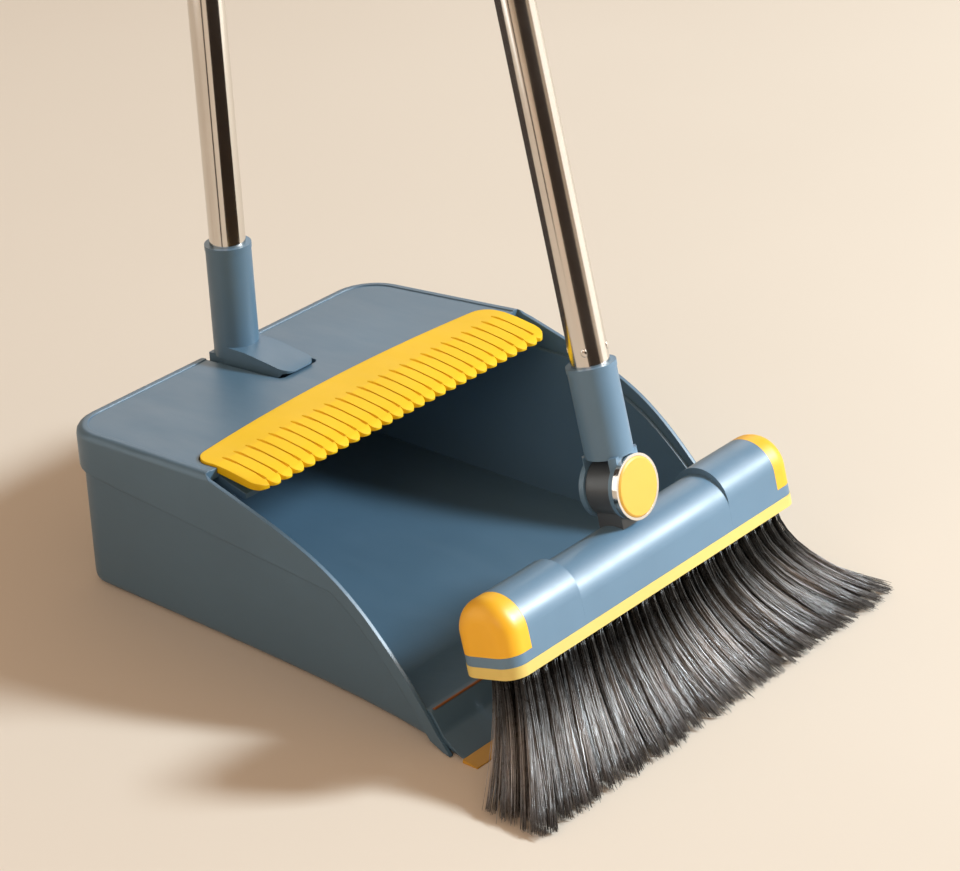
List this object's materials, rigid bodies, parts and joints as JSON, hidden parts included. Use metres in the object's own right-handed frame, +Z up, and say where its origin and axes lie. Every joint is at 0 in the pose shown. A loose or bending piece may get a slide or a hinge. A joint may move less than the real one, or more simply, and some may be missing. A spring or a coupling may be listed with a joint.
{
  "type": "dust pan and brush set",
  "caption": "Covered dust pan with a folding upright pole and a comb on its cover, and a broom with a swivelling pole and a fanned bristle head.",
  "frame": {"origin": "middle of the pan's flat underside, on the floor", "axes": "+Z up, the pan's mouth and the broom towards -Y, +X across the mouth to the right as seen looking along +Y"},
  "size_m": [0.314, 0.3967, 0.8911],
  "materials": {
    "blue_plastic": "satin",
    "dark_plastic": "satin",
    "yellow_plastic": "satin",
    "yellow_soft": "matte",
    "steel": "polished",
    "bristle": "satin"
  },
  "bodies": {
    "pan": {"pan_tray": "blue_plastic", "pan_cover": "blue_plastic", "pan_lip": "yellow_soft", "pan_crest_bead": "yellow_soft", "pan_comb": "yellow_plastic", "comb_screw_left": "steel", "comb_screw_right": "steel", "hinge_box": "blue_plastic", "hinge_pin": "steel", "hinge_washer_left": "steel", "hinge_washer_right": "steel"},
    "pan_pole": {"pan_foot": "blue_plastic", "pan_tube": "steel", "pan_tube_plug": "dark_plastic", "pan_grip": "blue_plastic", "pan_grip_cap": "yellow_plastic"},
    "broom_head": {"head_shell": "blue_plastic", "head_end_left": "blue_plastic", "head_end_right": "blue_plastic", "head_cap_left": "yellow_plastic", "head_cap_right": "yellow_plastic", "bristle_plate": "yellow_plastic", "bristles": "bristle", "head_knuckle": "dark_plastic", "head_knuckle_screw": "steel"},
    "broom_pole": {"swivel_fork": "blue_plastic", "swivel_bolt": "steel", "swivel_rear_cap": "dark_plastic", "swivel_ring": "steel", "swivel_cover": "yellow_plastic", "broom_tube": "steel", "broom_tube_plug": "dark_plastic", "broom_grip": "blue_plastic", "broom_grip_cap": "yellow_plastic"}
  },
  "joints": [
    {"name": "pan_pole_fold", "type": "hinge", "parent": "pan", "child": "pan_pole", "pos_m": [0, 0.128, 0.082], "axis": [-1, 0, 0], "range_deg": [0, 85]},
    {"name": "broom_lift", "type": "slide", "parent": "pan", "child": "broom_head", "axis": [0, 0, 1], "range_m": [0, 0.3]},
    {"name": "broom_swivel", "type": "hinge", "parent": "broom_head", "child": "broom_pole", "pos_m": [-0.018, -0.1437, 0.1077], "axis": [0, -0.965, 0.2622], "range_deg": [-90, 90]}
  ]
}
